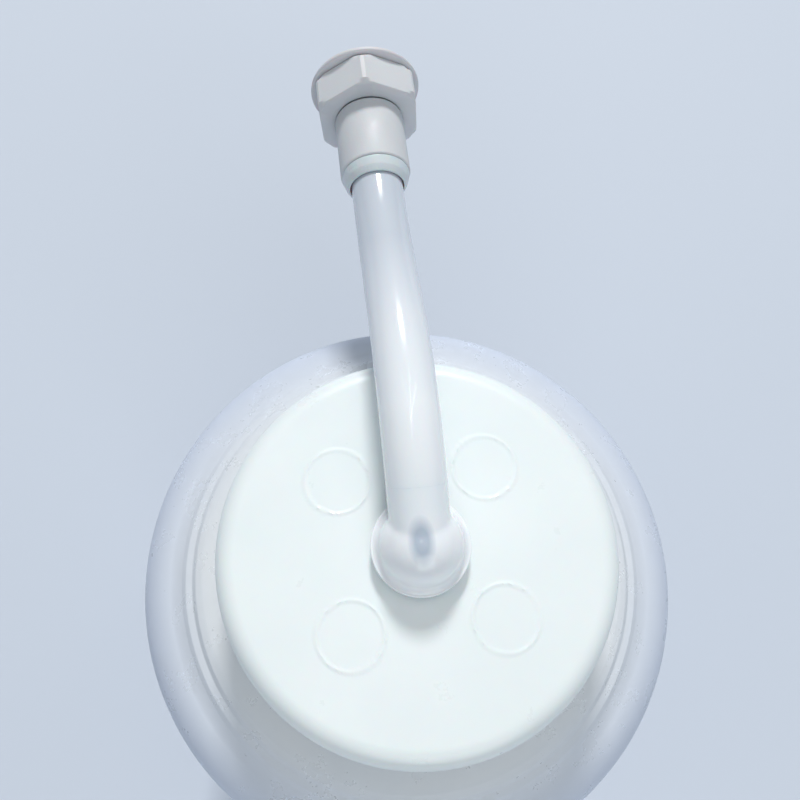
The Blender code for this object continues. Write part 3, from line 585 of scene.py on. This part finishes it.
def make_dip_tube():
    """Dip tube with a notched foot, so that it can't seal itself on the jar's floor."""
    low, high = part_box("dip_tube")
    wall, notch = 0.0014, 0.00424
    bore, outer = high.x - wall, high.x
    outline = divided([(bore, low.z), (outer, low.z), (outer, high.z), (bore, high.z)], 0.0040)

    def notched(r, z, angle):
        floor = low.z + max(0.0, notch - abs(r * math.cos(angle)))
        return r, max(z, floor)

    mesh = lathe_mesh("dip_tube", outline, 96, change=notched)
    return finish_piece("dip_tube_fine", mesh, "spout", "lid_unit", ["dip_tube"])


def make_balls():
    """The two steel valve balls."""
    for node, body in (("outlet_ball", "outlet_ball_body"), ("inlet_ball", "inlet_ball_body")):
        low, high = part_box(node)
        radius = (high.z - low.z) / 2
        outline = [(max(0.0, r) if abs(r) > 1e-9 else 0.0, z)
                   for r, z in arc((0, low.z + radius), radius, -90, 90, 24)]
        outline[0], outline[-1] = (0.0, low.z), (0.0, high.z)
        mesh = lathe_mesh(node, outline, 48, closed=False)
        finish_piece(node + "_fine", mesh, "steel", body, [node])


def swept_mesh(name, sections, sides, loop=False):
    """A mesh through round sections, each (centre, tangent, side direction, radius)."""
    bm = bmesh.new()
    rows = []
    for centre, tangent, side, radius in sections:
        up = tangent.cross(side)
        rows.append([bm.verts.new(centre + radius * (math.cos(a) * side + math.sin(a) * up))
                     for a in (2 * math.pi * k / sides for k in range(sides))])
    pairs = list(zip(rows, rows[1:]))
    if loop:
        pairs.append((rows[-1], rows[0]))
    for low, high in pairs:
        for k in range(sides):
            j = (k + 1) % sides
            bm.faces.new((low[k], low[j], high[j], high[k]))
    if not loop:
        bm.faces.new(rows[0][::-1])
        bm.faces.new(rows[-1])
    bmesh.ops.recalc_face_normals(bm, faces=bm.faces[:])
    mesh = bpy.data.meshes.new(name)
    bm.to_mesh(mesh)
    bm.free()
    return mesh


def make_spring():
    """Return spring: five live turns and a dead end on each side."""
    low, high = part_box("return_spring")
    wire = 0.0007
    radius = high.x - wire
    bottom, top = low.z + wire, high.z - wire
    live, dead, per_turn = 5, 0.8, 36
    turns, flat = live + 2 * dead, 2 * wire * 1.15
    points = []
    for i in range(round(turns * per_turn) + 1):
        turn = i / per_turn
        if turn < dead:
            z = bottom + flat * turn
        elif turn > turns - dead:
            z = top - flat * (turns - turn)
        else:
            z = bottom + flat * dead + (turn - dead) / live * (top - bottom - 2 * flat * dead)
        points.append((turn * 2 * math.pi, z))
    sections = []
    for i, (angle, z) in enumerate(points):
        out = Vector((math.cos(angle), math.sin(angle), 0))
        nearby = points[min(i + 1, len(points) - 1)]
        rise = (nearby[1] - z) * per_turn / (2 * math.pi * radius)
        tangent = Vector((-out.y, out.x, rise)).normalized()
        sections.append((Vector((radius * out.x, radius * out.y, z)), tangent, out, wire))
    mesh = swept_mesh("return_spring", sections, 12)
    piece = finish_piece("return_spring_fine", mesh, "steel", None, ["return_spring"], sharp_deg=60)
    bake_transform(piece)


# ---------------------------------------------------------------- the head and the spout
def evaluated(owner):
    """The object's mesh with its modifiers applied; the object itself is removed."""
    graph = bpy.context.evaluated_depsgraph_get()
    mesh = bpy.data.meshes.new_from_object(owner.evaluated_get(graph))
    bpy.data.objects.remove(owner, do_unlink=True)
    return mesh


def loose(name, mesh):
    """A plain object around a mesh."""
    made = bpy.data.objects.new(name, mesh)
    bpy.context.scene.collection.objects.link(made)
    return made


def boolean(mesh, other, operation):
    """The union or difference of two closed meshes."""
    target, operand = loose("target", mesh), loose("operand", other)
    modifier = target.modifiers.new("boolean", "BOOLEAN")
    modifier.operation = operation
    modifier.object = operand
    result = evaluated(target)
    bpy.data.objects.remove(operand, do_unlink=True)
    return result


def dome_outline():
    """Outline of the dome: an ellipse that meets the disc in a hollow fillet."""
    height, spread, lift = DOME_TOP - DISC_HIGH, 0.0013, math.radians(12)
    foot = Vector((DOME_R + spread, DISC_HIGH + 0.00004))
    meet = Vector((DOME_R * math.cos(lift), DISC_HIGH + height * math.sin(lift)))
    bend = Vector((DOME_R + 0.0002, DISC_HIGH + 0.0001))
    outline = [(0, DISC_HIGH - 0.0006), (foot.x, DISC_HIGH - 0.0006)]
    for k in range(12):
        t = k / 12
        outline.append(tuple((1 - t) ** 2 * foot + 2 * t * (1 - t) * bend + t * t * meet))
    for c, h in arc((0, 0), 1.0, math.degrees(lift), 90, 24):
        outline.append((max(0.0, DOME_R * c), DISC_HIGH + height * h))
    outline[-1] = (0, DOME_TOP)
    return outline


def make_head():
    """Pump head: barrel, thin disc, and a dome that flows into the spout's neck."""
    neck_place = placed(SPOUT_START, RISE)
    height = DOME_TOP - DISC_HIGH
    spare = 0.0015
    neck = [(0, 0), (SPOUT_R, 0), (SPOUT_R, NECK_LENGTH + spare), (0, NECK_LENGTH + spare)]
    joined = boolean(lathe_mesh("dome", dome_outline(), 96, closed=False),
                     lathe_mesh("neck", neck, 96, closed=False, place=neck_place), "UNION")
    blended = loose("dome_and_neck", joined)
    remesh = blended.modifiers.new("remesh", "REMESH")
    remesh.mode = "VOXEL"
    remesh.voxel_size = DOME_VOXEL
    blended = loose("dome_and_neck", evaluated(blended))
    crease = blended.vertex_groups.new(name="crease")
    for vertex in blended.data.vertices:
        local = neck_place.inverted() @ vertex.co
        beyond = NECK_LENGTH - local.z
        from_neck = abs(Vector((local.x, local.y)).length - SPOUT_R)
        level = min(1.0, max(0.0, vertex.co.z - DISC_HIGH) / height)
        from_dome = abs(math.hypot(vertex.co.x, vertex.co.y) - DOME_R * math.sqrt(1 - level ** 2))
        near = max(0.0, 1 - max(from_neck, from_dome) / CREASE_REACH)
        near *= min(1.0, max(0.0, beyond / 0.0020))
        floor = min(1.0, max(0.0, (vertex.co.z - DISC_HIGH) / 0.0010))
        weight = min(1.0, 0.25 + 2 * near) * floor * min(1.0, max(0.0, beyond / 0.0010))
        crease.add([vertex.index], weight, "REPLACE")
    smooth = blended.modifiers.new("smooth", "SMOOTH")
    smooth.factor = 0.5
    smooth.iterations = 60
    smooth.vertex_group = "crease"
    body = evaluated(blended)
    disc = rounded([(0, BARREL_LOW), (BARREL_R - 0.0006, BARREL_LOW, 0.0003),
                    (BARREL_R, BARREL_LOW + 0.0006, 0.0002), (BARREL_R, DISC_LOW, 0.0004),
                    (HEAD_DISC_R, DISC_LOW, 0.0004),
                    (HEAD_DISC_R, DISC_HIGH, 0.0004), (DOME_R - 0.0004, DISC_HIGH),
                    (0, DISC_HIGH)], closed=False)
    head = boolean(body, lathe_mesh("disc", disc, 128, closed=False), "UNION")
    below, above, beyond = BARREL_LOW - 0.0010, SPOUT_START.z + 0.0005, NECK_LENGTH + 0.0030
    stem_path = [(0, below), (STEM_SOCKET_R, below), (STEM_SOCKET_R, STEM_SOCKET_TOP),
                 (PASSAGE_R, STEM_SOCKET_TOP), (PASSAGE_R, above), (0, above)]
    wide, socket = SPOUT_R + 0.0040, SPIGOT_R + 0.0003
    spout_path = [(0, -0.0005), (PASSAGE_R, -0.0005), (PASSAGE_R, NECK_SOCKET), (socket, NECK_SOCKET),
                  (socket, NECK_LENGTH), (wide, NECK_LENGTH), (wide, beyond), (0, beyond)]
    for name, path, place in (("stem_path", stem_path, UP), ("spout_path", spout_path, neck_place)):
        head = boolean(head, lathe_mesh(name, path, 64, closed=False, place=place), "DIFFERENCE")
    return finish_piece("pump_head_fine", head, "spout", "head_unit", ["pump_head"], sharp_deg=50)


def make_spout():
    """Spout tube along one smooth arch, from its spigot in the neck to its end in the sleeve."""
    start = SPOUT_START + RISE * (NECK_LENGTH + 0.00001)
    handles = (start + RISE * SPOUT_HANDLES[0], SPOUT_END - NOZZLE_AXIS * SPOUT_HANDLES[1])
    side = Vector((1, 0, 0))
    seat = SPOUT_START + RISE * (NECK_SOCKET + 0.0004)
    outside = [(seat, RISE, side, SPIGOT_R - 0.0002), (seat + RISE * 0.0004, RISE, side, SPIGOT_R),
               (start, RISE, side, SPIGOT_R)]
    inside = [(seat, RISE, side, SPIGOT_BORE), (start, RISE, side, SPIGOT_BORE)]
    steps = 72
    for i in range(steps + 1):
        t = i / steps
        u = 1 - t
        point = (u ** 3 * start + 3 * u * u * t * handles[0] + 3 * u * t * t * handles[1]
                 + t ** 3 * SPOUT_END)
        slope = (3 * u * u * (handles[0] - start) + 6 * u * t * (handles[1] - handles[0])
                 + 3 * t * t * (SPOUT_END - handles[1]))
        outside.append((point, slope.normalized(), side, SPOUT_R))
        if i:
            inside.append((point, slope.normalized(), side, SPOUT_BORE))
    tip = SPOUT_END + NOZZLE_AXIS * TUBE_IN_SLEEVE
    outside += [(tip - NOZZLE_AXIS * 0.0003, NOZZLE_AXIS, side, SPOUT_R),
                (tip, NOZZLE_AXIS, side, SPOUT_R - 0.0003)]
    inside += [(tip, NOZZLE_AXIS, side, SPOUT_BORE)]
    mesh = swept_mesh("spout_tube", outside + inside[::-1], 72, loop=True)
    return finish_piece("spout_tube_fine", mesh, "spout", "head_unit", ["spout_tube"])


# ---------------------------------------------------------------- the nozzle
def make_nozzle():
    """Everything on the spout's end, from the soft collar to the slit valve."""
    bore = SPOUT_R + 0.0004
    near_r, far_r = COLLAR_R
    middle = COLLAR_START + 0.4 * (COLLAR_END - COLLAR_START)
    ring = rounded([(bore, COLLAR_START, 0.0001), (near_r, COLLAR_START, 0.0003),
                    ((near_r + far_r) / 2 + 0.0001, middle, 0.0012), (far_r, COLLAR_END, 0.0003),
                    (bore, COLLAR_END, 0.0002)])
    mesh = lathe_mesh("sleeve_ring", ring, 96, place=NOZZLE)
    finish_piece("sleeve_ring_fine", mesh, "ring", "head_unit", ["sleeve_ring"])
    make_sleeve(bore)
    make_hex_nut()
    turned_piece("nozzle_flange", "nozzle", "nut_unit", fillet=0.0005, segments=128, place=NOZZLE)
    make_valve()


def make_sleeve(bore):
    """Nozzle sleeve with its threaded spigot."""
    root, low, high = SLEEVE_SPIGOT_R, NUT_START - 0.0003, SLEEVE_SPIGOT_END
    start, floor = COLLAR_END + 0.00012, TUBE_IN_SLEEVE + 0.0010
    spigot = divided([(root, low + 0.0004), (root, high - 0.0008)], 0.00012, closed=False)
    near = rounded([(bore, start), (SLEEVE_R, start, 0.0006), (SLEEVE_R, low, 0.0005), (root, low, 0.0002),
                    spigot[0]], closed=False)
    far = rounded([spigot[-1], (root, high - 0.0005, 0.0002), (root - 0.0005, high, 0.0002),
                   (OUTLET_R, high, 0.0003), (OUTLET_R, floor, 0.0002), (bore, floor)], closed=False)
    outline = near[:-1] + spigot + far[1:]

    def threaded(r, z, angle):
        if abs(r - root) > 1e-6 or z < low + 0.0003:
            return r, z
        share = ridge(z, angle - NOZZLE_PHASE, NOZZLE_THREAD_Z, NOZZLE_PITCH, NOZZLE_TURNS,
                      NOZZLE_THREAD_WIDTH)
        return r + NOZZLE_THREAD_HEIGHT * share, z

    mesh = lathe_mesh("nozzle_sleeve", outline, 96, change=threaded, place=NOZZLE)
    return finish_piece("nozzle_sleeve_fine", mesh, "nozzle", "head_unit", ["nozzle_sleeve"])


def make_hex_nut():
    """Hex nut with rounded corners, a light chamfer at both ends and its thread inside."""
    low, high = NUT_START, NUT_START + NUT_LENGTH
    flat = NUT_FLATS / 2
    corner = flat / math.cos(math.radians(30))
    side = divided([(corner, low + 0.0004), (corner, high - 0.0004)], 0.0010, closed=False)
    thread = divided([(NUT_SOCKET, NUT_SHOULDER - 0.0002), (NUT_SOCKET, low + 0.0004)], 0.00012,
                     closed=False)
    outline = [(corner - 0.0002, low + 0.0001), (corner, low + 0.0003)] + side
    outline += [(corner, high - 0.0003), (corner - 0.0002, high - 0.0001), (corner - 0.0005, high)]
    outline += [(NUT_EXIT + 0.0003, high), (NUT_EXIT, high - 0.0003), (NUT_EXIT, NUT_SHOULDER + 0.0002),
                (NUT_EXIT + 0.0002, NUT_SHOULDER), (NUT_SOCKET - 0.0001, NUT_SHOULDER)]
    outline += thread + [(NUT_SOCKET + 0.0001, low + 0.0001), (NUT_SOCKET + 0.0004, low),
                         (corner - 0.0005, low)]
    corner_at, side_turn = math.radians(NUT_CORNER_DEG), math.radians(60)

    def shaped(r, z, angle):
        if r > flat - 0.0008:
            turned = (angle - corner_at) % side_turn - side_turn / 2
            hexagon = min(flat / math.cos(turned), corner - 0.0003)
            cone = flat + 0.0006 + 1.1 * min(z - low, high - z)
            return min(hexagon - (corner - r), cone), z
        if abs(r - NUT_SOCKET) < 1e-6:
            share = ridge(z, angle - NOZZLE_PHASE, NOZZLE_THREAD_Z + NOZZLE_PITCH / 2, NOZZLE_PITCH,
                          NOZZLE_TURNS, NOZZLE_THREAD_WIDTH)
            return r - NUT_THREAD_DEPTH * share, z
        return r, z

    mesh = lathe_mesh("hex_nut", outline, 180, change=shaped, place=NOZZLE)
    return finish_piece("hex_nut_fine", mesh, "nozzle", "nut_unit", ["hex_nut"], sharp_deg=25)


def make_valve():
    """Silicone slit valve: a flat rim and a bill that closes to a slit."""
    low, high, bill = SLEEVE_SPIGOT_END + 0.0003, NUT_SHOULDER - 0.0003, NUT_SHOULDER + 0.0022
    rim, neck, bore = VALVE_RIM_R, VALVE_NECK_R, VALVE_BORE
    outside = [(low, rim - 0.0002, rim - 0.0002), (low + 0.0001, rim, rim), (high - 0.0001, rim, rim),
               (high, rim - 0.0002, rim - 0.0002), (high, neck + 0.0002, neck + 0.0002),
               (high + 0.0002, neck, neck), (bill, neck, neck), (bill + 0.0015, neck, 0.0024),
               (bill + 0.0026, neck, 0.0011), (bill + 0.0027, neck - 0.0002, 0.0009)]
    inside = [(bill + 0.0021, bore - 0.0001, 0.0002), (bill + 0.0009, bore, 0.0014),
              (bill - 0.0003, bore, 0.0029), (low, bore, bore)]
    count = 48
    bm = bmesh.new()
    rows = []
    for s, across, up in outside + inside:
        rows.append([bm.verts.new(NOZZLE @ Vector((across * math.cos(a), up * math.sin(a), s)))
                     for a in (2 * math.pi * k / count for k in range(count))])
    tip, pocket = len(outside) - 1, len(outside)
    for i, row in enumerate(rows):
        if i == tip:
            continue
        after = rows[(i + 1) % len(rows)]
        for k in range(count):
            j = (k + 1) % count
            bm.faces.new((row[k], row[j], after[j], after[k]))
    bm.faces.new(rows[tip])
    bm.faces.new(rows[pocket])
    bmesh.ops.recalc_face_normals(bm, faces=bm.faces[:])
    mesh = bpy.data.meshes.new("nozzle_valve")
    bm.to_mesh(mesh)
    bm.free()
    return finish_piece("nozzle_valve_fine", mesh, "seal", "nozzle_valve_body", ["nozzle_valve"])


# ---------------------------------------------------------------- floor, light and camera
ZENITH = (0.92, 0.97, 1.0)
HORIZON = (0.40, 0.47, 0.60)
WORLD_STRENGTH = 0.43
FLOOR_HALF = 6.0
CAMERA_PLACE, CAMERA_AIM = Vector((-0.0161, -0.0286, 0.1999)), Vector((-0.0002, 0.0401, 0.0))
CAMERA_ROLL_DEG = 7.1


def make_floor():
    """A plain pale floor."""
    bm = bmesh.new()
    bmesh.ops.create_grid(bm, x_segments=1, y_segments=1, size=FLOOR_HALF)
    mesh = bpy.data.meshes.new("floor")
    bm.to_mesh(mesh)
    bm.free()
    look = Nodes("pale_floor")
    look.link(look.colours(look.noise(3.0), (0.60, 0.655, 0.74), (0.61, 0.665, 0.75)), "Base Color")
    look.set(roughness=0.85)
    mesh.materials.append(look.material)
    floor = loose("floor", mesh)


def area_light(name, place, target, size, power, colour=(1, 1, 1)):
    """A soft rectangular light that faces its target."""
    data = bpy.data.lights.new(name, "AREA")
    data.shape = "RECTANGLE"
    data.size, data.size_y = size
    data.energy = power
    data.color = colour
    lamp = bpy.data.objects.new(name, data)
    bpy.context.scene.collection.objects.link(lamp)
    lamp.location = place
    lamp.rotation_mode = "QUATERNION"
    lamp.rotation_quaternion = (Vector(target) - Vector(place)).to_track_quat("-Z", "Y")


def make_world():
    """A pale studio: bright overhead, deeper and bluer towards the horizon."""
    world = bpy.data.worlds.new("studio")
    world.use_nodes = True
    tree = world.node_tree
    coordinates = tree.nodes.new("ShaderNodeTexCoord").outputs["Generated"]
    split = tree.nodes.new("ShaderNodeSeparateXYZ")
    ramp = tree.nodes.new("ShaderNodeValToRGB")
    low, high = ramp.color_ramp.elements
    low.position, low.color = 0.0, (*HORIZON, 1.0)
    high.position, high.color = 0.75, (*ZENITH, 1.0)
    middle = ramp.color_ramp.elements.new(0.30)
    middle.color = (*((a + b) / 2 for a, b in zip(HORIZON, ZENITH)), 1.0)
    tree.links.new(coordinates, split.inputs["Vector"])
    tree.links.new(split.outputs["Z"], ramp.inputs["Fac"])
    tree.links.new(ramp.outputs["Color"], tree.nodes["Background"].inputs["Color"])
    tree.nodes["Background"].inputs["Strength"].default_value = WORLD_STRENGTH
    bpy.context.scene.world = world
    bpy.context.scene.view_settings.view_transform = "Standard"


def make_lights():
    """A soft key and fill, and three long strips that glint along the spout."""
    centre = (0, 0.03, LID_TOP)
    area_light("key_soft", (0.30, 2.60, 2.60), centre, (0.6, 0.6), 84.0, (1.0, 0.99, 0.98))
    area_light("fill_soft", (0.1, -1.4, 1.0), (0, -0.2, 0), (1.2, 1.2), 7.0, (0.95, 0.98, 1.0))
    strip_z, strip_length, spout_middle = 1.056, 0.6, (0, 0.05, 0.25)
    for name, x, width, power in (("strip_near", 0.052, 0.022, 0.22), ("strip_far", 0.20, 0.022, 0.25),
                                  ("strip_left", -0.10, 0.02, 0.08)):
        area_light(name, (x, 0.15, strip_z), spout_middle, (width, strip_length), power)


def make_camera():
    """A camera close above the lid, leaning towards the spout."""
    rim = Vector((0, 0, LID_TOP - LID_ROLL))
    data = bpy.data.cameras.new("camera")
    data.lens, data.sensor_width = 36.0, 36.0
    data.clip_start = 0.01
    camera = bpy.data.objects.new("camera", data)
    bpy.context.scene.collection.objects.link(camera)
    camera.location = rim + CAMERA_PLACE
    look = (rim + CAMERA_AIM - camera.location).to_track_quat("-Z", "Y")
    roll = Matrix.Rotation(math.radians(CAMERA_ROLL_DEG), 4, "Z").to_quaternion()
    camera.rotation_mode = "QUATERNION"
    camera.rotation_quaternion = look @ roll
    bpy.context.scene.camera = camera


LOOKS = make_looks()
make_camera()
make_jar()
make_lid()
make_pump()
make_head()
make_spout()
make_nozzle()
make_floor()
make_world()
make_lights()
